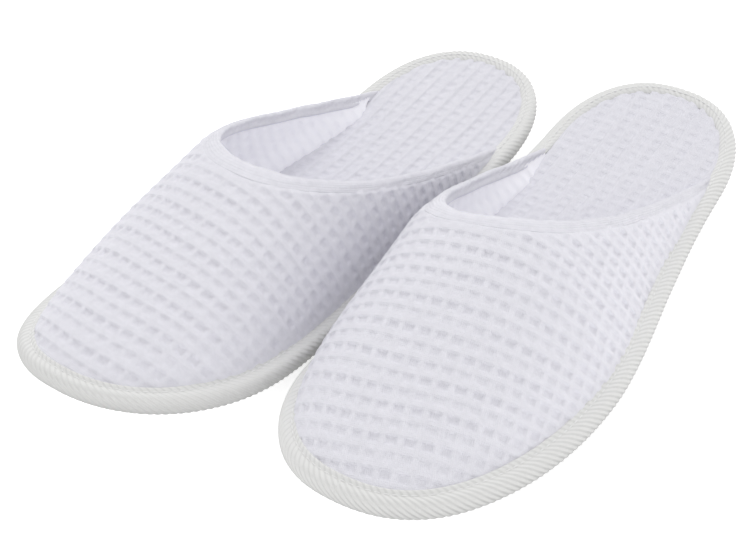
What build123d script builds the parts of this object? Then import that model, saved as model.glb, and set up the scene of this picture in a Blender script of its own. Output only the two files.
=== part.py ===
"""A pair of closed-toe spa slippers: waffle cotton uppers and insoles on foam soles bound with twill tape.

Millimetres, +Z up. The slippers stand side by side on the ground plane with their toes towards -Y.
The origin is on the ground, midway between them. The left slipper is at +X, the right one at -X.
"""

import os
from math import cos, exp, pi, sin

from build123d import *

# Plan of one sole
SOLE_LENGTH = 285.0
BALL_HALF_WIDTH = 50.5
HEEL_HALF_WIDTH = 40.5
WAIST_START, WAIST_LENGTH = 0.33, 0.52   # fractions of the length, counted from the toe
TOE_CAP, HEEL_CAP = 0.30, 0.19           # how much of the length each rounded end takes
CAP_POWER = 2.3
BALL_SWELL, SWELL_STATION, SWELL_SPREAD = 4.6, 0.36, 0.19
SWELL_BASE = 1.6
OUTLINE_STEPS = 14                       # spline points along each side

# Layers of the sole, from the ground up
OUTSOLE_THICKNESS = 3.2
FOAM_THICKNESS = 2.6
COVER_THICKNESS = 1.4
STACK = OUTSOLE_THICKNESS + FOAM_THICKNESS + COVER_THICKNESS

# Twill tape around the rim
TAPE = 0.8
TAPE_CLEARANCE = 0.3                     # the tape stays this far off the ground
TOP_LEG, BOTTOM_LEG = 5.5, 8.0

# Soft curl of the soles: the flat part runs from HEEL_FLAT to TOE_FLAT
TOE_FLAT, HEEL_FLAT = -28.0, 24.0

# Upper
ARCH_POWER, DOME_POWER = 2.4, 1.63       # shape of the arch across the foot
RAMP_POWER, RAMP_ROUND = 1.1, 1.32       # rise of the crest from the toe to the throat
OUTER_FABRIC, INTERLINING, LINING = 1.4, 2.2, 1.2
UPPER_THICKNESS = OUTER_FABRIC + INTERLINING + LINING
HEM_THICKNESS = 1.6

# Where the two slippers stand
SPACING, STAGGER, TOE_OUT = 95.0, 19.7, 1.65

# Each slipper has slumped a little differently. Crest is the height of the upper at the throat, lean its
# sideways slope and flare its further rise towards the heel. The throat line runs from throat_front to
# wing_end, bows out of straight by bow, and is turned by skew degrees so that it is deeper on the outer side.
SLIPPERS = {
    "left": {
        "hand": 1, "toe_lift": 9.0, "heel_lift": 13.0, "crest": 49.0, "lean": -0.27, "flare": 0.02,
        "throat_front": -33.0, "wing_end": 105.0, "bow": 4.0, "skew": 15.0,
    },
    "right": {
        "hand": -1, "toe_lift": 23.0, "heel_lift": 12.0, "crest": 50.5, "lean": 0.0, "flare": 0.32,
        "throat_front": -38.0, "wing_end": 105.0, "bow": 0.8, "skew": 8.7,
    },
}
FAR = 130.0                              # reach of the cutting bodies


def half_width(station):
    """Half of the sole's width at a fraction of its length from the toe."""
    blend = min(max((station - WAIST_START) / WAIST_LENGTH, 0), 1)
    blend = blend * blend * (3 - 2 * blend)
    width = BALL_HALF_WIDTH + (HEEL_HALF_WIDTH - BALL_HALF_WIDTH) * blend
    for distance, cap in ((station, TOE_CAP), (1 - station, HEEL_CAP)):
        width *= (1 - max(1 - distance / cap, 0) ** CAP_POWER) ** (1 / CAP_POWER)
    return width


def swell(station):
    """How far the middle of the sole lies towards the outer side."""
    return BALL_SWELL * exp(-(((station - SWELL_STATION) / SWELL_SPREAD) ** 2)) - SWELL_BASE


def rim_point(angle, inset, hand):
    """A point on the sole's outline, moved inwards. Angle 0 is the toe, pi the heel, and it goes round by 2 pi."""

    def on_rim(turn):
        station = (1 - cos(turn)) / 2
        side = 1 if sin(turn) >= 0 else -1
        return Vector(swell(station) + side * half_width(station), (station - 0.5) * SOLE_LENGTH)

    step = 0.01
    along = (on_rim(angle + step) - on_rim(angle - step)).normalized()
    point = on_rim(angle) - Vector(along.Y, -along.X) * inset
    return (hand * point.X, point.Y)


def rim_points(inset, hand):
    count = 2 * OUTLINE_STEPS
    return [rim_point(2 * pi * (i + 0.5) / count, inset, hand) for i in range(count)]


class Placement:
    """The planes that one slipper is drawn on."""

    def __init__(self, hand, toe_lift, heel_lift, crest, lean, flare, throat_front, wing_end, bow, skew):
        self.hand, self.toe_lift, self.heel_lift = hand, toe_lift, heel_lift
        self.crest, self.lean, self.flare = crest, lean, flare
        self.throat_front, self.wing_end, self.bow, self.skew = throat_front, wing_end, bow, skew
        turn = Rotation(0, 0, hand * TOE_OUT)
        self.ground = Plane(Location((hand * SPACING / 2, hand * STAGGER / 2, 0)) * turn)
        self.side = self.turned_side(0)

    def turned_side(self, degrees):
        """The upright plane along the slipper, looked at from its outer side, turned about the upright axis."""
        flat = Plane(self.ground.location * Rotation(0, 0, degrees))
        return Plane(origin=flat.origin, x_dir=flat.y_dir, z_dir=flat.x_dir)

    def across(self, y):
        """The upright plane across the slipper at y along it."""
        origin = self.ground.from_local_coords((0, y, 0))
        return Plane(origin=origin, x_dir=self.ground.x_dir, z_dir=-self.ground.y_dir)

    def curl(self, y):
        """How far the sole lifts off the ground at y along it."""
        end = SOLE_LENGTH / 2
        if y < TOE_FLAT:
            return self.toe_lift * ((TOE_FLAT - y) / (end + TOE_FLAT)) ** 2
        if y > HEEL_FLAT:
            return self.heel_lift * ((y - HEEL_FLAT) / (end - HEEL_FLAT)) ** 2
        return 0.0


def plan(place, inset):
    """The sole's outline as a face on the ground."""
    with BuildSketch(place.ground) as sketch:
        with BuildLine():
            Spline(*rim_points(inset, place.hand), periodic=True)
        make_face()
    return sketch.sketch


def curl_profile(place, low, high):
    """A closed outline in the side view between two heights above the curled underside of the sole."""
    end = SOLE_LENGTH / 2 + 10
    toe_height, heel_height = place.curl(-end), place.curl(end)
    for height in (low, high):
        Bezier((-end, toe_height + height), ((TOE_FLAT - end) / 2, height), (TOE_FLAT, height))
        Line((TOE_FLAT, height), (HEEL_FLAT, height))
        Bezier((HEEL_FLAT, height), ((HEEL_FLAT + end) / 2, height), (end, heel_height + height))
    Line((-end, toe_height + low), (-end, toe_height + high))
    Line((end, heel_height + low), (end, heel_height + high))


def layer(place, inset, low, high):
    """A slab of the sole: the outline moved inwards, between two heights above the curled underside."""
    with BuildPart() as slab:
        add(plan(place, inset))
        extrude(amount=FAR)
        with BuildSketch(place.side):
            with BuildLine():
                curl_profile(place, low, high)
            make_face()
        extrude(amount=FAR, both=True, mode=Mode.INTERSECT)
    return slab.part


def arch_section(place, y, inset):
    """Half width, middle and height of the upper's arch at y, with the surface moved inwards."""
    rim_inset = TOP_LEG + inset
    length = SOLE_LENGTH - 2 * rim_inset
    station = 0.5 + y / length
    width = half_width(station) * (1 - rim_inset / BALL_HALF_WIDTH)
    run = min((y + length / 2) / (place.throat_front + length / 2), 1)
    height = place.crest * (1 - (1 - run) ** RAMP_POWER) ** (1 / RAMP_ROUND)
    height += place.flare * max(y - place.throat_front, 0)
    return width, swell(station), max(height - inset * min(1, run * 8), 1.0)


def arch_body(place, inset):
    """The solid under the upper's arch, moved inwards, standing on the insole."""
    length = SOLE_LENGTH - 2 * (TOP_LEG + inset)
    toe = -length / 2
    parts = (0.008, 0.03, 0.07, 0.13, 0.21, 0.3, 0.38, 0.48, 0.6, 0.72, 0.82, 0.9)
    stations = [toe + length * part for part in parts]
    below = 4.0
    with BuildPart() as body:
        for y in stations:
            width, middle, height = arch_section(place, y, inset)
            floor = STACK + place.curl(y)
            points = []
            for i in range(11):
                turn = pi * i / 10
                reach = abs(cos(turn)) ** (2 / ARCH_POWER) * (1 if cos(turn) > 0 else -1)
                rise = height * sin(turn) ** (2 / DOME_POWER)
                across = middle + width * reach + place.lean * rise
                points.append((place.hand * across, floor + rise))
            with BuildSketch(place.across(y)):
                with BuildLine():
                    Spline(*points)
                    Polyline(
                        points[-1],
                        (points[-1][0], floor - below),
                        (points[0][0], floor - below),
                        points[0],
                    )
                make_face()
        loft()
    return body.part


def throat_profile(place, shift):
    """The throat line in the side view and the space above and behind it, moved towards the heel."""
    top = (place.throat_front + shift, STACK + place.crest)
    wing = (place.wing_end + shift, STACK)
    middle = ((top[0] + wing[0]) / 2 - place.bow, (top[1] + wing[1]) / 2 - place.bow)
    ThreePointArc(top, middle, wing)
    Polyline(wing, (wing[0] + 4, 0), (FAR * 2, 0), (FAR * 2, FAR), (top[0] - 6, FAR), top)


def throat_cut(place, shift):
    """The space behind the throat line, as a solid."""
    with BuildPart() as cut:
        with BuildSketch(place.turned_side(place.hand * place.skew)):
            with BuildLine():
                throat_profile(place, shift)
            make_face()
        extrude(amount=FAR, both=True)
    return cut.part


def upper_shell(place, outer_inset, inner_inset, shift):
    """One layer of the upper, from the insole to the throat line."""
    with BuildPart() as shell:
        add(arch_body(place, outer_inset))
        add(arch_body(place, inner_inset), mode=Mode.SUBTRACT)
        add(layer(place, TOP_LEG, STACK, STACK + FAR), mode=Mode.INTERSECT)
        add(throat_cut(place, shift), mode=Mode.SUBTRACT)
    return shell.part


def write(part, slipper, piece):
    part.label = f"{slipper}_{piece}"
    export_step(part, f"parts/{part.label}.step")


os.makedirs("parts", exist_ok=True)
for name, form in SLIPPERS.items():
    place = Placement(**form)
    ledge = TAPE_CLEARANCE + TAPE

    with BuildPart() as outsole:
        add(layer(place, TAPE, ledge, OUTSOLE_THICKNESS))
        add(layer(place, BOTTOM_LEG, 0, ledge))
    write(outsole.part, name, "outsole")

    with BuildPart() as sole_foam:
        add(layer(place, TAPE, OUTSOLE_THICKNESS, OUTSOLE_THICKNESS + FOAM_THICKNESS))
    write(sole_foam.part, name, "sole_foam")

    with BuildPart() as insole_cover:
        add(layer(place, TAPE, OUTSOLE_THICKNESS + FOAM_THICKNESS, STACK))
    write(insole_cover.part, name, "insole_cover")

    with BuildPart() as edge_binding:
        add(layer(place, 0, TAPE_CLEARANCE, STACK + TAPE))
        add(layer(place, TAPE, ledge, STACK), mode=Mode.SUBTRACT)
        add(layer(place, TOP_LEG, STACK - 1, STACK + 3), mode=Mode.SUBTRACT)
        add(layer(place, BOTTOM_LEG, 0, ledge + 1), mode=Mode.SUBTRACT)
    write(edge_binding.part, name, "edge_binding")

    depth = 0.0
    for piece, thickness in (
        ("upper_outer", OUTER_FABRIC),
        ("upper_interlining", INTERLINING),
        ("upper_lining", LINING),
    ):
        with BuildPart() as skin:
            add(upper_shell(place, depth, depth + thickness, -HEM_THICKNESS))
        write(skin.part, name, piece)
        depth += thickness

    with BuildPart() as throat_hem:
        add(upper_shell(place, 0, UPPER_THICKNESS, 0))
        add(throat_cut(place, -HEM_THICKNESS), mode=Mode.INTERSECT)
    write(throat_hem.part, name, "throat_hem")
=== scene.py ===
"""A pair of waffle cotton spa slippers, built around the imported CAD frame.

Lengths are in millimetres until a mesh is made. Each slipper's shape is worked out in its own frame, with x
towards the outer side, y towards the heel and z up.
"""

from math import cos, pi, radians, sin

import bpy
import numpy as np
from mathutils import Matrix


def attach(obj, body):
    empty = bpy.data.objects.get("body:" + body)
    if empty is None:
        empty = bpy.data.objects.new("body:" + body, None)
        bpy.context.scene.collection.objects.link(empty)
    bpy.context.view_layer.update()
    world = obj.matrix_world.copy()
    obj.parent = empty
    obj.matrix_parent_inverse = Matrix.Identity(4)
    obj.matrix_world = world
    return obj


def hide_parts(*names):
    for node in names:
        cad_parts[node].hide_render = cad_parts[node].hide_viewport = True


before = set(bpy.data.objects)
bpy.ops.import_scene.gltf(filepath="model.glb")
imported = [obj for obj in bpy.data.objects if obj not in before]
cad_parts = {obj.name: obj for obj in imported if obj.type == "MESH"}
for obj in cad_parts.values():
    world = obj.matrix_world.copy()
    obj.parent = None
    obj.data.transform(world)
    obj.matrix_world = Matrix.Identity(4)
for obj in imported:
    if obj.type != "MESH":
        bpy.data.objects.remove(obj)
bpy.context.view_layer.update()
MM = 0.001

# ---------------------------------------------------------------- shape of the slippers, as in the CAD
SOLE_LENGTH = 285.0
BALL_HALF_WIDTH, HEEL_HALF_WIDTH = 50.5, 40.5
WAIST_START, WAIST_LENGTH = 0.33, 0.52
TOE_CAP, HEEL_CAP, CAP_POWER = 0.30, 0.19, 2.3
BALL_SWELL, SWELL_STATION, SWELL_SPREAD, SWELL_BASE = 4.6, 0.36, 0.19, 1.6
OUTSOLE, FOAM, COVER = 3.2, 2.6, 1.4
STACK = OUTSOLE + FOAM + COVER
TOP_LEG, BOTTOM_LEG = 5.5, 8.0
TOE_FLAT, HEEL_FLAT = -28.0, 24.0
ARCH_POWER, DOME_POWER, RAMP_POWER, RAMP_ROUND = 2.4, 1.63, 1.1, 1.32
UPPER_THICKNESS = 4.8
SPACING, STAGGER, TOE_OUT = 95.0, 19.7, 1.65

# Each slipper has slumped a little differently. Crest is the height of the upper at the throat, lean its
# sideways slope and flare its further rise towards the heel. The throat line runs from throat_front to
# wing_end, bows out of straight by bow and is turned by skew degrees.
# weave_turn is how far the cloth's rows are turned, in degrees, towards the heel on the outer side.
SLIPPERS = {
    "left": {
        "hand": 1, "toe_lift": 9.0, "heel_lift": 13.0, "crest": 49.0, "lean": -0.27, "flare": 0.02,
        "throat_front": -33.0, "wing_end": 105.0, "bow": 4.0, "skew": 15.0, "weave_turn": 10.0,
    },
    "right": {
        "hand": -1, "toe_lift": 23.0, "heel_lift": 12.0, "crest": 50.5, "lean": 0.0, "flare": 0.32,
        "throat_front": -38.0, "wing_end": 105.0, "bow": 0.8, "skew": 8.7, "weave_turn": 5.0,
    },
}

# ---------------------------------------------------------------- cloth
CELL = 5.9                                # one waffle cell
STEPS = 12           # mesh steps across a cell
LINING_STEPS = max(STEPS * 6 // 10, 4)
UPPER_DEPTH, LINING_DEPTH, INSOLE_DEPTH = 1.35, 0.9, 0.85    # ridge to bottom of the waffle relief
LEDGE_FALL, INSOLE_FALL = 0.22, 0.5       # share of the relief that is the slope between two ledges
POCKET_FALL = 0.6                         # share of the relief that is the pockets
CONE = 60.0                               # the cloth lies as on a cone whose tip is this far before the toe
CLOTH_START = -4.0                        # where the cloth starts, along it from the toe of the arch
OUTER_CUT, LINING_CUT = (100, 270), (95, 262)    # half width and length of the cloths before they are cut out
SEAM = 3.2                                # seam allowance of the outer cloth under the tape
LINING_INSET = UPPER_THICKNESS - 0.5
INTERLINING_INSETS = 2.0, 2.8
COVER_INSET = 1.4                         # the insole cover stays this far inside the sole's outline
HEM_SHIFT = 3.8                           # how far the hem's waffle is moved along the cloth
HEM_MIDDLE, HEM_REACH = 2.1, 1.75         # depth of the fold's middle, and half its thickness
TOE_GAP, HEEL_REACH = 0.02, 130.0         # the arch is worked out from just behind its toe to this place
THROAT_SEARCH, HALVINGS = (-120.0, 134.0), 40    # the throat is looked for between these places, by halving

# ---------------------------------------------------------------- tape and thread
RIM_POWER = 2.25                          # roundness of the tape's outer side, where 2 is an ellipse
TAPE_STEP = 0.48
TAPE_POINTS = 54                          # points across the tape's outer side
RIB_PITCH, RIB_SLANT, RIB_HEIGHT = 2.8, 1.15, 0.42
LIP_RISE = 1.6                            # how far the tape's top edge climbs the foot of the upper
LIP_END, LIP_FADE = 95.0, 30.0            # the climb ends here, towards the heel, over this distance
STITCH_PITCH, STITCH_HALF, THREAD = 3.4, 1.25, 0.24    # distance, half length, and radius of the thread
STITCH_INSET, STITCH_HEIGHT = 4.75, 8.93

# ---------------------------------------------------------------- studs of the outsole
STUD_HEIGHT, STUD_RADIUS, STUD_PITCH = 0.5, 1.7, 6.4
STUD_ROW = STUD_PITCH * 0.87              # distance between rows, each shifted by half a pitch
STUD_FIELD = 48, 126                      # half width and half length of the field the studs are cut from
STUD_MARGIN = BOTTOM_LEG + 4              # no stud stands nearer the rim than this
STUD_RINGS = [(0.3, 0.0), (0.75, 0.06), (1.0, 0.3), (1.05, 0.62)]    # share of the radius, and height

# ---------------------------------------------------------------- tones, each pale and deep
WAFFLE_TONES = (0.90, 0.893, 0.957), (0.81, 0.805, 0.865)
# The lining is the same cotton as the upper, painted paler to lift the shade inside the slipper.
LINING_PAINTED_PALE_TONES = (0.93, 0.925, 0.97), (0.87, 0.865, 0.915)
INSOLE_TONES = (0.865, 0.858, 0.92), (0.78, 0.775, 0.835)
# The tape's deep tone is painted shade, given to the grooves between its ribs.
TWILL_RIB_AND_GROOVE_SHADE_TONES = (0.79, 0.79, 0.78), (0.71, 0.71, 0.70)
THREAD_TONES = (0.90, 0.90, 0.90), (0.87, 0.87, 0.87)
OUTSOLE_TONES = (0.80, 0.80, 0.80), (0.76, 0.76, 0.765)
CUSHION_TONES = (0.84, 0.83, 0.80), (0.80, 0.79, 0.76)
FLOOR_TONES = (0.93, 0.93, 0.93), (0.925, 0.925, 0.928)
LINING_PAINTED_GLOW, FLOOR_GLOW = 0.14, 0.52      # painted light: emission that brightens the lining's shade, in place of light through the thin cloth; and brightness of the lit table top
COTTON_THREAD, SEWING_THREAD = 0.0007, 0.0003    # pitch of the threads, in metres

# ---------------------------------------------------------------- camera and light, in metres and degrees
LENS, SENSOR_WIDTH = 72.0, 36.0           # in millimetres
CAMERA_PLACE, CAMERA_TILT, CAMERA_TURN = (0.2447, -0.4054, 0.364), 51.945, 33.28
WORLD_STRENGTH = 0.84
KEY_PLACE, KEY_SIZE, KEY_POWER = (-0.6, 1.3, 1.7), 1.2, 12
FLOOR_HALF = 4


def smooth(amount):
    amount = np.clip(amount, 0, 1)
    return amount * amount * (3 - 2 * amount)


def wobble(a, b, phase):
    """A gentle unevenness between about -1 and 1, for places in millimetres."""
    wide = np.sin(a / 17 + phase) * np.sin(b / 23 + 1.7 * phase)
    return (wide + 0.6 * np.sin(a / 9 - b / 14 + 2.3 * phase) + 0.4 * np.sin((a + b) / 31 + phase)) / 2


def half_width(station):
    blend = smooth((station - WAIST_START) / WAIST_LENGTH)
    width = BALL_HALF_WIDTH + (HEEL_HALF_WIDTH - BALL_HALF_WIDTH) * blend
    for distance, cap in ((station, TOE_CAP), (1 - station, HEEL_CAP)):
        inside = 1 - np.clip(1 - distance / cap, 0, 1) ** CAP_POWER
        width = width * np.clip(inside, 0, 1) ** (1 / CAP_POWER)
    return width


def swell(station):
    return BALL_SWELL * np.exp(-(((station - SWELL_STATION) / SWELL_SPREAD) ** 2)) - SWELL_BASE


def rim(turn, inset):
    """Plan position on the sole's outline, moved inwards. Turn 0 is the toe and pi the heel."""

    def on_rim(angle):
        station = (1 - np.cos(angle)) / 2
        side = np.where(np.sin(angle) >= 0, 1, -1)
        return np.stack([swell(station) + side * half_width(station), (station - 0.5) * SOLE_LENGTH], -1)

    step = 0.01
    along = on_rim(turn + step) - on_rim(turn - step)
    along = along / np.linalg.norm(along, axis=-1, keepdims=True)
    normal = np.stack([along[..., 1], -along[..., 0]], -1)
    return on_rim(turn) - normal * np.asarray(inset)[..., None]


def rim_slope(y, length):
    """How fast the half width grows with y, for a sole of this length."""
    step = 0.5
    ahead, behind = (np.clip(0.5 + (y + d) / length, 0.0005, 0.9995) for d in (step, -step))
    return (half_width(ahead) - half_width(behind)) / (2 * step)


def run_along(points):
    """How far each point of a line is from its first, measured along the line."""
    return np.r_[0, np.cumsum(np.linalg.norm(np.diff(points, axis=0), axis=1))]


class Slipper:
    """One slipper's own frame: x towards its outer side, y towards the heel, z up."""

    def __init__(self, name, form):
        self.name, self.body = name, name + "_slipper"
        self.__dict__.update(form)
        top = np.array([self.throat_front, STACK + self.crest])
        wing = np.array([self.wing_end, STACK])
        middle = (top + wing) / 2 - self.bow
        across = [(middle @ middle - top @ top) / 2, (wing @ wing - top @ top) / 2]
        self.throat_centre = np.linalg.solve(np.array([middle - top, wing - top]), across)
        self.throat_radius = np.linalg.norm(top - self.throat_centre)

    def curl(self, y):
        end = SOLE_LENGTH / 2
        toe = np.clip((TOE_FLAT - y) / (end + TOE_FLAT), 0, 2) ** 2
        heel = np.clip((y - HEEL_FLAT) / (end - HEEL_FLAT), 0, 2) ** 2
        return self.toe_lift * toe + self.heel_lift * heel

    def to_row(self, points):
        """Points in the slipper's frame, as points in the row frame, in metres."""
        points = np.asarray(points, float)
        turn = self.hand * radians(TOE_OUT)
        x, y = self.hand * points[..., 0], points[..., 1]
        return MM * np.stack([
            x * cos(turn) - y * sin(turn) + self.hand * SPACING / 2,
            x * sin(turn) + y * cos(turn) + self.hand * STAGGER / 2,
            points[..., 2],
        ], -1)

    def arch(self, angle, y, inset):
        """The upper's surface. Angle 0 is the outer foot of the arch, pi the inner one."""
        rim_inset = TOP_LEG + inset
        length = SOLE_LENGTH - 2 * rim_inset
        station = 0.5 + y / length
        width = half_width(np.clip(station, 0, 1)) * (1 - rim_inset / BALL_HALF_WIDTH)
        run = np.clip((y + length / 2) / (self.throat_front + length / 2), 0, 1)
        height = self.crest * (1 - (1 - run) ** RAMP_POWER) ** (1 / RAMP_ROUND)
        height = height + self.flare * np.clip(y - self.throat_front, 0, None)
        height = np.maximum(height - inset * np.minimum(1, run * 8), 1.0)
        reach = np.abs(np.cos(angle)) ** (2 / ARCH_POWER) * np.sign(np.cos(angle))
        rise = height * np.clip(np.sin(angle), 0, 1) ** (2 / DOME_POWER)
        x = swell(station) + width * reach + self.lean * rise
        return np.stack([x, y + 0 * x, STACK + self.curl(y) + rise], -1)

    def before_throat(self, points):
        """How far a point is in front of the throat line."""
        y = points[..., 1] * cos(radians(self.skew)) - points[..., 0] * sin(radians(self.skew))
        out = np.hypot(y - self.throat_centre[0], points[..., 2] - self.throat_centre[1])
        return out - self.throat_radius

    def on_throat(self, angle, inset, ahead):
        """The point of the upper's surface at this angle that lies this far in front of the throat line."""
        low, high = (np.full(np.shape(angle), end) for end in THROAT_SEARCH)
        for _ in range(HALVINGS):
            y = (low + high) / 2
            front = self.before_throat(self.arch(angle, y, inset)) > ahead
            low, high = np.where(front, y, low), np.where(front, high, y)
        return self.arch(angle, low, inset)


def crest_of(slipper, inset, count):
    """Places along the upper's crest, and how far along it each lies."""
    length = SOLE_LENGTH - 2 * (TOP_LEG + inset)
    ys = np.linspace(TOE_GAP - length / 2, HEEL_REACH, count)
    return ys, run_along(slipper.arch(np.full_like(ys, pi / 2), ys, inset))


class ArchTable:
    """The upper's surface by true lengths: v from the toe along the crest, u across from the crest."""

    STEP, REACH = 0.5, 110.0

    def __init__(self, slipper, inset):
        ys, run = crest_of(slipper, inset, 1200)
        v = np.arange(0, run[-1], self.STEP)
        self.y = np.interp(v, run, ys)
        u = np.arange(-self.REACH, self.REACH + self.STEP / 2, self.STEP)
        angles = np.linspace(0, pi, 241)
        self.table = np.zeros((len(v), len(u), 5))
        for row, y in zip(self.table, self.y):
            section = slipper.arch(angles, np.full_like(angles, y), inset)
            arc = run_along(section)
            arc = arc - np.interp(pi / 2, angles, arc)
            order = np.clip(-u, arc[0], arc[-1])
            for k in range(3):
                row[:, k] = np.interp(order, arc, section[:, k])
            row[:, 3] = np.maximum(u + arc[0], -u - arc[-1])
        self.table[:, :, 4] = rim_slope(self.y, SOLE_LENGTH - 2 * (TOP_LEG + inset))[:, None]

    def at(self, u, v):
        """Points at (u, v), and how far past the foot of the arch each lies. There the cloth runs outwards."""
        i = np.clip(v / self.STEP, 0, self.table.shape[0] - 1.001)
        j = np.clip((u + self.REACH) / self.STEP, 0, self.table.shape[1] - 1.001)
        i0, j0 = i.astype(int), j.astype(int)
        a, b = (i - i0)[..., None], (j - j0)[..., None]
        low = self.table[i0, j0] * (1 - b) + self.table[i0, j0 + 1] * b
        high = self.table[i0 + 1, j0] * (1 - b) + self.table[i0 + 1, j0 + 1] * b
        found = low * (1 - a) + high * a
        past = np.maximum(found[..., 3], -v)
        slope = found[..., 4]
        out = np.clip(past, 0, 4) / np.hypot(1, slope)
        points = found[..., :3].copy()
        points[..., 0] += np.sign(u) * out
        points[..., 1] -= slope * out
        return points, past


def normals_of(grid):
    """Unit normals of a grid of points whose first index runs outwards and whose second runs to the heel."""
    across, along = np.gradient(grid, axis=0), np.gradient(grid, axis=1)
    normal = np.cross(across, along)
    return normal / np.maximum(np.linalg.norm(normal, axis=-1, keepdims=True), 1e-9)


def waffle(across, along, phase, fall=LEDGE_FALL):
    """Height of waffle cloth, 1 on the ridges and least in the pockets, for a place in millimetres.

    Each row slopes down from a ledge by the share fall, and a pocket lies under the next row's ledge.
    """
    a = across / CELL + 0.16 * wobble(across, along, phase)
    b = along / CELL + 0.16 * wobble(along, across, phase + 1)
    uneven = 0.75 + 0.25 * np.sin(12.9898 * np.floor(a) + 78.233 * np.floor(b) + phase)    # from cell to cell
    a, b = a % 1, b % 1
    step_up = smooth((b - 0.9) / 0.1)
    ledge = 1 - fall * smooth(b / 0.92) + fall * step_up
    pocket = smooth((0.36 - np.abs(a - 0.5)) / 0.14) * smooth((b - 0.34) / 0.18) * (1 - step_up)
    return ledge - POCKET_FALL * uneven * pocket


# ---------------------------------------------------------------- meshes
def make_mesh(name, points, faces, uv=None):
    mesh = bpy.data.meshes.new(name)
    mesh.from_pydata(np.asarray(points).tolist(), [], [list(f) for f in faces])
    mesh.polygons.foreach_set("use_smooth", [True] * len(mesh.polygons))
    if uv is not None:
        layer = mesh.uv_layers.new(name="cloth")
        corner = np.zeros(len(mesh.loops), np.int32)
        mesh.loops.foreach_get("vertex_index", corner)
        layer.data.foreach_set("uv", np.asarray(uv, np.float32)[corner].ravel())
    mesh.update()
    piece = bpy.data.objects.new(name, mesh)
    bpy.context.scene.collection.objects.link(piece)
    return piece


def whole_faces(keep):
    """Which faces of a grid have all four points kept."""
    return keep[:-1, :-1] & keep[1:, :-1] & keep[1:, 1:] & keep[:-1, 1:]


def grid_faces(rows, columns, keep=None, wrap=False, ring=False):
    """Faces of a grid of points. Wrap joins the last row to the first, ring the last column to the first."""
    index = np.arange(rows * columns).reshape(rows, columns)
    if wrap:
        index = np.vstack([index, index[:1]])
    if ring:
        index = np.hstack([index, index[:, :1]])
    quads = np.stack([index[:-1, :-1], index[1:, :-1], index[1:, 1:], index[:-1, 1:]], -1)
    if keep is not None:
        quads = quads[whole_faces(keep)]
    return quads.reshape(-1, 4)


def tube_faces(first, rings, sides, close_end):
    """Faces of a tube closed at its start, whose points are numbered from first, ring after ring."""
    faces = []
    for ring in range(rings - 1):
        for i in range(sides):
            a, b = (first + ring * sides + k % sides for k in (i, i + 1))
            faces.append([a, b, b + sides, a + sides])
    faces.append([first + i for i in range(sides)][::-1])
    if close_end:
        faces.append([first + (rings - 1) * sides + i for i in range(sides)])
    return faces


def piece_of(name, slipper, points, faces, uv=None, flip=False):
    """A piece from points in the slipper's frame. The right slipper is a mirror image, so its faces turn."""
    if (slipper.hand < 0) != flip:
        faces = [list(face)[::-1] for face in faces]
    used = np.unique(np.concatenate([np.asarray(face) for face in faces]) if len(faces) else [])
    renumber = np.zeros(len(points), int)
    renumber[used] = np.arange(len(used))
    faces = [renumber[np.asarray(face)].tolist() for face in faces]
    uv = None if uv is None else uv[used]
    return make_mesh(f"{slipper.name}_{name}", slipper.to_row(points[used]), faces, uv)


def grid_piece(name, slipper, grid, keep=None, uv=None, wrap=False, ring=False, flip=False):
    faces = grid_faces(*grid.shape[:2], keep=keep, wrap=wrap, ring=ring)
    uv = None if uv is None else np.asarray(uv).reshape(-1, 2) * MM
    return piece_of(name, slipper, grid.reshape(-1, 3), faces, uv, flip)


def finish_piece(piece, slipper, slot, material, *nodes):
    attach(piece, slipper.body)
    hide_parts(*(f"{slipper.name}_{node}" for node in nodes))
    piece.data.materials.append(material)
    return piece


# ---------------------------------------------------------------- materials
class Look:
    """A material in the making, with short ways to add nodes to it."""

    def __init__(self, name, roughness, sheen, specular):
        self.material = bpy.data.materials.new(name)
        self.material.use_nodes = True
        self.tree = self.material.node_tree
        self.shader = self.tree.nodes["Principled BSDF"]
        self.place = self.tree.nodes.new("ShaderNodeTexCoord").outputs
        self.feed(self.shader, {
            "Roughness": roughness,
            "Sheen Weight": sheen,
            "Sheen Roughness": 0.45,
            "Specular IOR Level": specular,
        })

    def feed(self, node, inputs):
        """Gives each input a constant, or links another node's output to it."""
        for key, value in inputs.items():
            if isinstance(value, bpy.types.NodeSocket):
                self.tree.links.new(value, node.inputs[key])
            else:
                node.inputs[key].default_value = value

    def node(self, kind, inputs, **settings):
        node = self.tree.nodes.new("ShaderNode" + kind)
        for key, value in settings.items():
            setattr(node, key, value)
        self.feed(node, inputs)
        return node.outputs

    def ramp(self, amount, low, high):
        """Colour between two tones, each given with its position on the ramp."""
        node = self.tree.nodes.new("ShaderNodeValToRGB")
        for element, (position, tone) in zip(node.color_ramp.elements, (low, high)):
            element.position, element.color = position, (*tone, 1)
        self.tree.links.new(amount, node.inputs["Fac"])
        return node.outputs["Color"]

    def noise(self, scale, detail, roughness=0.5):
        inputs = {"Vector": self.place["Object"], "Scale": scale, "Detail": detail, "Roughness": roughness}
        return self.node("TexNoise", inputs)["Fac"]

    def bands(self, pitch, direction, distortion, detail_scale=1.0, phase=0.0):
        """Parallel bands of a given pitch, in metres. At scale 1 Blender's own pitch is 2 pi / 20."""
        return self.node("TexWave", {
            "Vector": self.place["UV"],
            "Scale": 2 * pi / (20 * pitch),
            "Distortion": distortion,
            "Detail": 2.0,
            "Detail Scale": detail_scale,
            "Phase Offset": phase,
        }, wave_type="BANDS", bands_direction=direction)["Fac"]

    def tint(self, scale, tones):
        """Colour that drifts between two tones in soft blotches."""
        pale, deep = tones
        colour = self.ramp(self.noise(scale, 9.0, 0.72), (0.3, deep), (0.7, pale))
        self.tree.links.new(colour, self.shader.inputs["Base Color"])

    def emboss(self, height, strength, distance):
        relief = self.node("Bump", {"Strength": strength, "Distance": distance, "Height": height})
        self.tree.links.new(relief["Normal"], self.shader.inputs["Normal"])


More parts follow.
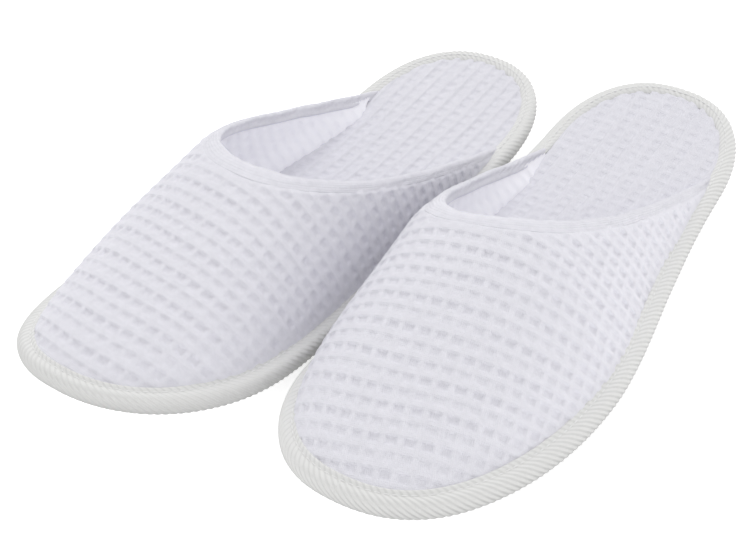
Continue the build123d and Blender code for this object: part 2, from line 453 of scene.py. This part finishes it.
def cloth_material(name, tones, thread, bump, painted_glow=0.0):
    """White cotton: faint blotches, crossed threads, loose fibres and a soft sheen. Any emission it is given
    is painted light in its pale tone, which brightens its shade in place of light coming through thin cloth."""
    look = Look(name, 0.9, 0.22, 0.25)
    # Painted light: the cloth emits its pale tone at the given strength, to brighten its shade.
    look.feed(look.shader, {"Emission Color": (*tones[0], 1), "Emission Strength": painted_glow})
    look.tint(320.0, tones)
    warp, weft = (look.bands(thread, direction, 1.2) for direction in "XY")
    weave = look.node("Math", {0: warp, 1: weft}, operation="MAXIMUM")[0]
    fibres = look.noise(900.0, 6.0)
    look.emboss(look.node("Math", {0: weave, 1: fibres}, operation="ADD")[0], 0.6, bump)
    return look.material


def twill_material(name, tones):
    """Twill tape with painted shade: the grooves between its slanting ribs are painted a little darker, and
    the tape is painted darker the more it faces the floor. The ribs themselves are in the mesh."""
    rib, painted_groove_shade = tones
    look = Look(name, 0.85, 0.15, 0.3)
    bands = look.bands(RIB_PITCH * MM, "X", 0.5, detail_scale=1.5, phase=pi / 2)
    # Painted shade: the grooves between the ribs take the deeper tone.
    tone = look.ramp(bands, (0.05, painted_groove_shade), (0.6, rib))
    # Painted shade: the tape's colour is scaled down to 0.52 where it faces straight down, and kept where it
    # faces up.
    normal = look.node("NewGeometry", {})["Normal"]
    painted_underside_shade = look.node("MapRange", {
        "Value": look.node("SeparateXYZ", {"Vector": normal})["Z"],
        "From Min": -0.75,
        "From Max": 0.7,
        "To Min": 0.52,
        "To Max": 1.0,
    }, interpolation_type="SMOOTHSTEP")["Result"]
    tone_with_painted_shade = look.node("VectorMath", {"Vector": tone, "Scale": painted_underside_shade}, operation="SCALE")["Vector"]
    look.feed(look.shader, {"Base Color": tone_with_painted_shade})
    look.emboss(look.noise(1600.0, 5.0), 0.5, 0.0001)
    return look.material


def foam_material(name, tones, cells, bump):
    """Foam: an even tone with a fine pebbled skin."""
    look = Look(name, 0.62, 0.0, 0.4)
    look.tint(40.0, tones)
    pebbles = look.node("TexVoronoi", {"Scale": cells, "Vector": look.place["Object"]})["Distance"]
    look.emboss(pebbles, 0.5, bump)
    return look.material


def floor_material():
    """A lit table top: pale, and bright enough to keep the shadows on it faint."""
    look = Look("backdrop_paper", 0.8, 0.0, 0.2)
    look.feed(look.shader, {"Emission Color": (1, 1, 1, 1), "Emission Strength": FLOOR_GLOW})
    look.tint(3.0, FLOOR_TONES)
    return look.material


# ---------------------------------------------------------------- the upper
def weave_of(slipper, cloth):
    """Places on the flat cloth, measured along and across its threads."""
    turn = radians(slipper.weave_turn)
    x, y = cloth[..., 0], cloth[..., 1]
    return np.stack([x * cos(turn) + y * sin(turn), y * cos(turn) - x * sin(turn)], -1)


def upper_grid(slipper, inset, steps, cut):
    """A square grid of cloth, and where each of its points lies on the arch."""
    side, back = cut
    step = CELL / steps
    x = np.arange(-int(side / step), int(side / step) + 1) * step
    y = np.arange(CLOTH_START, back, step)
    cloth = np.stack(np.broadcast_arrays(x[:, None], y[None, :]), -1)
    radius = np.hypot(cloth[..., 0], cloth[..., 1] + CONE)
    bearing = np.arctan2(cloth[..., 0], cloth[..., 1] + CONE)
    points, past = ArchTable(slipper, inset).at(radius * bearing, radius - CONE)
    return points, past, cloth, weave_of(slipper, cloth), step


def upper_outer(slipper, material):
    grid, past, cloth, weave, step = upper_grid(slipper, 0.0, STEPS, OUTER_CUT)
    ahead = slipper.before_throat(grid)
    normal = normals_of(grid)
    up = smooth(-past / 2)
    strength = smooth((ahead - 2.2) / 2.4) * smooth((-past - 0.6) / 5)
    relief = waffle(weave[..., 0], weave[..., 1], slipper.hand)
    sag = 0.7 * wobble(cloth[..., 0], cloth[..., 1], 2.0 + slipper.hand) * smooth((ahead - 6) / 14) * up
    lift = -0.55 * (1 - up) + 0.45 * up + sag - UPPER_DEPTH * (1 - relief) * strength
    lift = lift - 0.9 * (1 - smooth((ahead - 1.4) / 2.2)) * up
    keep = (ahead > 0.2 + 0.9 * smooth((-past - 2) / 8)) & (past < SEAM)
    piece = grid_piece("upper_outer_cloth", slipper, grid + normal * lift[..., None], keep, weave)
    return finish_piece(piece, slipper, "waffle_cotton", material, "upper_outer")


def upper_lining(slipper, material):
    grid, past, cloth, weave, step = upper_grid(slipper, LINING_INSET, LINING_STEPS, LINING_CUT)
    ahead = slipper.before_throat(grid)
    normal = normals_of(grid)
    above = grid[..., 2] - STACK - slipper.curl(grid[..., 1])
    strength = smooth((ahead - 2.5) / 4)
    relief = waffle(weave[..., 0] + 2.1, weave[..., 1] + 1.3, slipper.hand + 3.0)
    sag = 0.6 * wobble(cloth[..., 0], cloth[..., 1], 5.0 + slipper.hand) * smooth(above / 9)
    lift = -0.1 - sag * smooth((ahead - 4) / 12) + LINING_DEPTH * (1 - relief) * strength
    laid = grid + normal * lift[..., None]
    cove = 3.4 * (1 - smooth(above / 13)) * smooth((ahead - 1) / 8)
    laid[..., 0] -= np.sign(cloth[..., 0]) * cove * smooth(np.abs(cloth[..., 0]) / 12)
    laid[..., 2] -= 0.7 * (1 - smooth(above / 3))
    keep = (ahead > 0.2 + 2.2 * smooth((above - 2) / 8)) & (past < SEAM / 2)
    piece = grid_piece("upper_lining_cloth", slipper, laid, keep, weave, flip=True)
    return finish_piece(piece, slipper, "waffle_cotton", material, "upper_lining")


def upper_interlining(slipper, material):
    """The soft middle layer, a closed shell between the two cloths."""
    angles = np.linspace(0.02, pi - 0.02, 73)
    columns = 90
    rings = []
    for inset in INTERLINING_INSETS:
        end = slipper.on_throat(angles, np.full_like(angles, inset), 2.6)[:, 1]
        start = -(SOLE_LENGTH / 2 - TOP_LEG - inset) + 0.6
        part = np.linspace(0, 1, columns) ** 1.5
        y = start + (end[:, None] - start) * part[None, :]
        rings.append(slipper.arch(angles[:, None] + 0 * y, y, inset))
    loop = np.concatenate([rings[0], rings[1][::-1]], axis=0)
    count = len(loop)
    faces = grid_faces(count, columns, wrap=True).tolist()
    for column, turned in ((0, False), (columns - 1, True)):
        for i in range(len(angles) - 1):
            j = count - 1 - i
            face = [k * columns + column for k in (i, i + 1, j - 1, j)]
            faces.append(face[::-1] if turned else face)
    points = loop.reshape(-1, 3)
    piece = piece_of("upper_interlining_pad", slipper, points, faces, points[:, :2] * MM, flip=True)
    return finish_piece(piece, slipper, "cushion_foam", material, "upper_interlining")


def cloth_place(slipper, angles, y):
    """Where points of the upper's arch lie on its flat cloth."""
    along = np.interp(y, *crest_of(slipper, 0.0, 800))
    share = np.linspace(0, 1, 60)[None, :]
    arc = slipper.arch(pi / 2 + (angles - pi / 2)[:, None] * share, y[:, None] + 0 * share, 0.0)
    across = np.linalg.norm(np.diff(arc, axis=1), axis=2).sum(axis=1) * np.sign(pi / 2 - angles)
    radius = along + CONE
    return np.stack([radius * np.sin(across / radius), radius * np.cos(across / radius) - CONE], -1)


def throat_hem(slipper, material):
    """The folded band round the throat: down the outside, over the edge and down the lining."""
    columns = 700
    angles = 0.012 + (pi - 0.024) * (np.arange(columns) / (columns - 1))
    middle, reach = HEM_MIDDLE, HEM_REACH
    fold = np.linspace(0, pi, 15)
    outside = [(3.3, 1.2), (3.0, 0.6), (2.6, 0.1), (2.2, -0.05), (1.8, 0.1)]
    inside = [(2.0, 4.3), (2.7, 4.9), (3.4, 5.2), (3.9, 5.0), (4.4, 4.2)]
    profile = outside + [(1.3 - 1.9 * sin(t), middle - reach * cos(t)) for t in fold] + inside
    length = run_along(np.array(profile))
    base = slipper.on_throat(angles, 0 * angles, 0.0)
    above = base[:, 2] - STACK - slipper.curl(base[:, 1])
    run = run_along(base)
    full = smooth(above / 7)
    weave = weave_of(slipper, cloth_place(slipper, angles, base[:, 1]))
    rows = []
    for index, (ahead, inset) in enumerate(profile):
        tuck = 0.15 + 0.85 * np.sin(pi * index / (len(profile) - 1)) ** 0.5
        pressed = waffle(weave[:, 0], weave[:, 1] - HEM_SHIFT + length[index], slipper.hand)
        puff = 0.25 * wobble(run * 2.2, 9.0 * index, 1.0 + slipper.hand) - 0.45 * (1 - pressed) * tuck
        outward = np.sign(middle - inset) * min(abs(middle - inset) / reach, 1)
        depth = middle + (inset - middle) * (0.7 + 0.3 * full) - outward * puff * full
        over = max(1 - abs(middle - inset) / reach, 0)
        edge = 0.35 * wobble(run * 1.6, 3.0, 4.0 + slipper.hand) * full
        forward = ahead * (0.75 + 0.25 * full) - puff * over * full + edge
        rows.append(slipper.on_throat(angles, depth, forward))
    grid = np.stack(rows, 0)
    uv = np.stack(np.broadcast_arrays(run[None, :], length[:, None]), -1)
    piece = grid_piece("throat_hem_fold", slipper, grid, uv=uv)
    return finish_piece(piece, slipper, "waffle_cotton", material, "throat_hem")


# ---------------------------------------------------------------- the sole
def insole_cover(slipper, material):
    step = CELL / STEPS
    x = np.arange(-54, 56, step)
    y = np.arange(-SOLE_LENGTH / 2, SOLE_LENGTH / 2, step)
    x, y = np.broadcast_arrays(x[:, None], y[None, :])
    station = np.clip(0.5 + y / SOLE_LENGTH, 0, 1)
    edge = (half_width(station) - np.abs(x - swell(station))) / np.hypot(1, rim_slope(y, SOLE_LENGTH))
    relief = waffle(y + 0.05 * x, x, slipper.hand + 7.0, INSOLE_FALL)
    strength = smooth((edge - 3) / 5)
    height = -0.6 + 1.6 * smooth((edge - 4.6) / 3) + 0.8 * smooth((edge - 8) / 18)
    height = height + 0.5 * wobble(x * 0.8, y, slipper.hand + 4.0) * strength
    height = height - INSOLE_DEPTH * (1 - relief) * strength
    grid = np.stack([x, y, STACK + slipper.curl(y) + height], -1)
    keep = edge > COVER_INSET
    piece = grid_piece("insole_cover_cloth", slipper, grid, keep, np.stack([x, y], -1))
    return finish_piece(piece, slipper, "waffle_cotton", material, "insole_cover")


def slab(slipper, profile):
    """A closed slab of the sole's outline. The profile lists share of the way out, inset and height."""
    turns = np.linspace(0, 2 * pi, 360, endpoint=False)
    rings = []
    for share, inset, height in profile:
        plan = rim(turns, np.full_like(turns, inset)) * share
        rings.append(np.stack([plan[:, 0], plan[:, 1], slipper.curl(plan[:, 1]) + height], -1))
    grid = np.stack(rings, 1)
    rows, columns = grid.shape[:2]
    faces = grid_faces(rows, columns, wrap=True).tolist()
    faces.append([i * columns for i in range(rows)])
    faces.append([i * columns + columns - 1 for i in range(rows)][::-1])
    return grid.reshape(-1, 3), faces


def sole_foam(slipper, material):
    low, high = OUTSOLE + 0.05, OUTSOLE + FOAM - 0.1
    middle, half = (low + high) / 2, (high - low) / 2
    shares = np.linspace(0.04, 0.96, 18)
    profile = [(share, 1.6, low) for share in shares]
    profile += [(1.0, 2.9 - 1.5 * cos(t), middle + half * sin(t)) for t in np.linspace(-pi / 2, pi / 2, 9)]
    profile += [(share, 1.6, high) for share in shares[::-1]]
    points, faces = slab(slipper, profile)
    piece = piece_of("sole_foam_pad", slipper, points, faces, points[:, :2] * MM)
    return finish_piece(piece, slipper, "cushion_foam", material, "sole_foam")


def studs(slipper, count):
    """Points and faces of the grip studs, the points numbered from count."""
    points, faces = [], []
    turns = np.linspace(0, 2 * pi, 10, endpoint=False)
    half_field, half_length = STUD_FIELD
    for row, y in enumerate(np.arange(-half_length, half_length + 1, STUD_ROW)):
        station = 0.5 + y / SOLE_LENGTH
        width = half_width(station) / np.hypot(1, rim_slope(y, SOLE_LENGTH)) - STUD_MARGIN
        for x in np.arange(-half_field + (row % 2) * STUD_PITCH / 2, half_field + 1, STUD_PITCH):
            if abs(x) >= width or abs(y) >= SOLE_LENGTH / 2 - STUD_MARGIN:
                continue
            for share, height in STUD_RINGS:
                ring_x = x + swell(station) + STUD_RADIUS * share * np.cos(turns)
                ring_y = y + STUD_RADIUS * share * np.sin(turns)
                points.append(np.stack([ring_x, ring_y, slipper.curl(ring_y) + height], -1))
            faces += tube_faces(count, len(STUD_RINGS), len(turns), close_end=False)
            count += len(turns) * len(STUD_RINGS)
    return points, faces


def outsole(slipper, material):
    """The foam outsole, with a field of low round studs for grip on the part that meets the ground."""
    face = STUD_HEIGHT - 0.05
    top = OUTSOLE - 0.05
    shares = np.linspace(0.04, 0.97, 18)
    profile = [(share, BOTTOM_LEG + 0.6, face) for share in shares]
    profile += [(1.0, BOTTOM_LEG + 0.5, face), (1.0, BOTTOM_LEG + 0.15, face + 0.12)]
    profile += [(1.0, BOTTOM_LEG + 0.1, 1.3), (1.0, 1.9, 1.3), (1.0, 1.4, 1.6)]
    profile += [(1.0, 1.2, 2.2), (1.0, 1.4, 2.8), (1.0, 2.0, top)]
    profile += [(share, 2.0, top) for share in shares[::-1]]
    points, faces = slab(slipper, profile)
    stud_points, stud_faces = studs(slipper, len(points))
    points = np.concatenate([points, *stud_points])
    piece = piece_of("outsole_slab", slipper, points, faces + stud_faces, points[:, :2] * MM)
    return finish_piece(piece, slipper, "eva_foam", material, "outsole")


def binding_profile():
    """The tape's section: inset and height of points from the bottom leg's edge round the rim to the top
    leg's edge, and then back along its inner face."""
    turns = np.linspace(-pi / 2, pi / 2, 17)
    round_x = 3.7 - 3.65 * np.abs(np.cos(turns)) ** (2 / RIM_POWER)
    round_z = 4.6 + 4.25 * np.abs(np.sin(turns)) ** (2 / RIM_POWER) * np.sign(np.sin(turns))
    outside = [(BOTTOM_LEG, 1.0), (BOTTOM_LEG - 0.35, 0.5), (6.0, 0.35)]
    outside += list(zip(round_x, round_z))
    outside += [(4.6, 8.9), (TOP_LEG, 8.75), (TOP_LEG + 0.9, 8.4), (TOP_LEG + 1.7, 7.8), (TOP_LEG + 2.1, 7.1)]
    outside = np.array(outside)
    run = run_along(outside)
    even = np.linspace(0, run[-1], TAPE_POINTS)
    outside = np.stack([np.interp(even, run, outside[:, 0]), np.interp(even, run, outside[:, 1])], -1)
    turns = np.linspace(pi / 2, -pi / 2, 7)
    inside = [(TOP_LEG + 1.2, 7.0), (TOP_LEG, 7.5)]
    inside += [(3.7 - 2.7 * cos(t), 4.5 + 3.2 * sin(t)) for t in turns]
    inside += [(BOTTOM_LEG - 0.5, 1.3)]
    return outside, np.array(inside)


def rim_turns(step):
    """Turns evenly spaced along the outline, how far along it each lies, and the outline's length."""
    fine = np.linspace(0, 2 * pi, 6001)
    run = run_along(rim(fine, np.zeros_like(fine)))
    count = int(run[-1] / step)
    at = np.arange(count) * run[-1] / count
    return np.interp(at, run, fine), at, run[-1]


def edge_binding(slipper, material):
    turns, run, length = rim_turns(TAPE_STEP)
    outside, inside = binding_profile()
    profile = np.concatenate([outside, inside])
    across = run_along(profile)
    tangent = np.gradient(profile, axis=0)
    out = np.stack([-tangent[:, 1], tangent[:, 0]], -1)
    out = out / np.linalg.norm(out, axis=1, keepdims=True)
    ribs = np.round(length / RIB_PITCH)
    last = len(outside) - 1
    rows, phases = [], []
    for index, (inset, height) in enumerate(profile):
        phase = 2 * pi * (run / length * ribs + slipper.hand * RIB_SLANT * across[index] / RIB_PITCH)
        phases.append(phase)
        rib = RIB_HEIGHT * (0.5 + 0.5 * np.cos(phase)) * (1 - 0.55 * smooth((inset - 1) / 3))
        soft = 0.13 * wobble(run * 1.3, across[index] * 3, slipper.hand + 1.0)
        offset = rib * (0 < index < last) + soft * (2 < index < last - 1) - RIB_HEIGHT * 0.5
        plan = rim(turns, inset + out[index, 0] * offset)
        if height > 6:
            offset = offset * smooth((6.6 - inset) / 1.5)
        climb = LIP_RISE * smooth((inset - 4.4) / 1.8) * (height > 6)
        climb = climb * smooth((LIP_END - plan[:, 1]) / LIP_FADE)
        lift = np.maximum(height + climb + out[index, 1] * offset, 0.12)
        rows.append(np.stack([plan[:, 0], plan[:, 1], slipper.curl(plan[:, 1]) + lift], -1))
    grid = np.stack(rows, 0)
    uv = np.stack(np.broadcast_arrays(np.stack(phases) / (2 * pi) * RIB_PITCH, across[:, None]), -1)
    piece = grid_piece("edge_binding_tape", slipper, grid, uv=uv, wrap=True, ring=True)
    return finish_piece(piece, slipper, "twill_tape", material, "edge_binding")


def stitches(slipper, material):
    """The row of lockstitches that holds the tape's top leg down."""
    turns, _, _ = rim_turns(STITCH_PITCH)
    before, centre, after = (rim(turns + d, np.full_like(turns, STITCH_INSET)) for d in (-0.004, 0, 0.004))
    along = (after - before) / np.linalg.norm(after - before, axis=1, keepdims=True)
    ends = np.linspace(-1, 1, 7)
    sides = np.linspace(0, 2 * pi, 6, endpoint=False)
    points, faces = [], []
    for place, way in zip(centre, along):
        faces += tube_faces(len(points), len(ends), len(sides), close_end=True)
        side = np.array([way[1], -way[0]])
        for end in ends:
            radius = THREAD * max(1 - end ** 4, 0.05)
            for turn in sides:
                plan = place + way * end * STITCH_HALF + side * radius * cos(turn)
                lift = STITCH_HEIGHT + radius * sin(turn) - 0.12 * end ** 2
                points.append((plan[0], plan[1], slipper.curl(plan[1]) + lift))
    points = np.array(points)
    piece = piece_of("binding_stitches", slipper, points, faces, points[:, :2] * MM)
    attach(piece, slipper.body)
    piece.data.materials.append(material)
    return piece


def build():
    waffle_cotton = cloth_material("waffle_cotton_cloth", WAFFLE_TONES, COTTON_THREAD, 0.0003)
    lining_cotton = cloth_material("lining_cotton_cloth", LINING_PAINTED_PALE_TONES, COTTON_THREAD, 0.00025, LINING_PAINTED_GLOW)
    insole_cotton = cloth_material("insole_cotton_cloth", INSOLE_TONES, COTTON_THREAD, 0.0003)
    twill = twill_material("twill_tape_cloth", TWILL_RIB_AND_GROOVE_SHADE_TONES)
    thread = cloth_material("sewing_thread", THREAD_TONES, SEWING_THREAD, 0.00005)
    outsole_foam = foam_material("outsole_eva_foam", OUTSOLE_TONES, 900.0, 0.0001)
    soft_foam = foam_material("cushion_foam_pad", CUSHION_TONES, 1400.0, 0.00015)
    for name, form in SLIPPERS.items():
        slipper = Slipper(name, form)
        upper_outer(slipper, waffle_cotton)
        upper_interlining(slipper, soft_foam)
        upper_lining(slipper, lining_cotton)
        throat_hem(slipper, insole_cotton)
        insole_cover(slipper, insole_cotton)
        sole_foam(slipper, soft_foam)
        outsole(slipper, outsole_foam)
        edge_binding(slipper, twill)
        stitches(slipper, thread)


def area_light(name, place, size, power):
    """A round lamp that points at the middle of the floor."""
    data = bpy.data.lights.new(name, "AREA")
    data.shape, data.size, data.energy = "DISK", size, power
    lamp = bpy.data.objects.new(name, data)
    lamp.location = place
    x, y, z = place
    lamp.rotation_euler = (np.arctan2(np.hypot(x, y), z), 0, np.arctan2(-y, -x) - pi / 2)
    bpy.context.scene.collection.objects.link(lamp)


def camera_and_light():
    data = bpy.data.cameras.new("camera")
    data.lens, data.sensor_width = LENS, SENSOR_WIDTH
    camera = bpy.data.objects.new("camera", data)
    camera.location = CAMERA_PLACE
    camera.rotation_euler = (radians(CAMERA_TILT), 0, radians(CAMERA_TURN))
    bpy.context.scene.collection.objects.link(camera)
    bpy.context.scene.camera = camera
    world = bpy.data.worlds.new("studio")
    bpy.context.scene.world = world
    world.use_nodes = True
    background = world.node_tree.nodes["Background"]
    background.inputs["Color"].default_value = (1, 1, 1, 1)
    background.inputs["Strength"].default_value = WORLD_STRENGTH
    corners = [(x * FLOOR_HALF, y * FLOOR_HALF, 0) for x, y in ((-1, -1), (1, -1), (1, 1), (-1, 1))]
    floor = make_mesh("floor", corners, [(0, 1, 2, 3)])
    floor.data.materials.append(floor_material())
    area_light("key", KEY_PLACE, KEY_SIZE, KEY_POWER)
    bpy.context.scene.view_settings.view_transform = "Standard"


build()
camera_and_light()
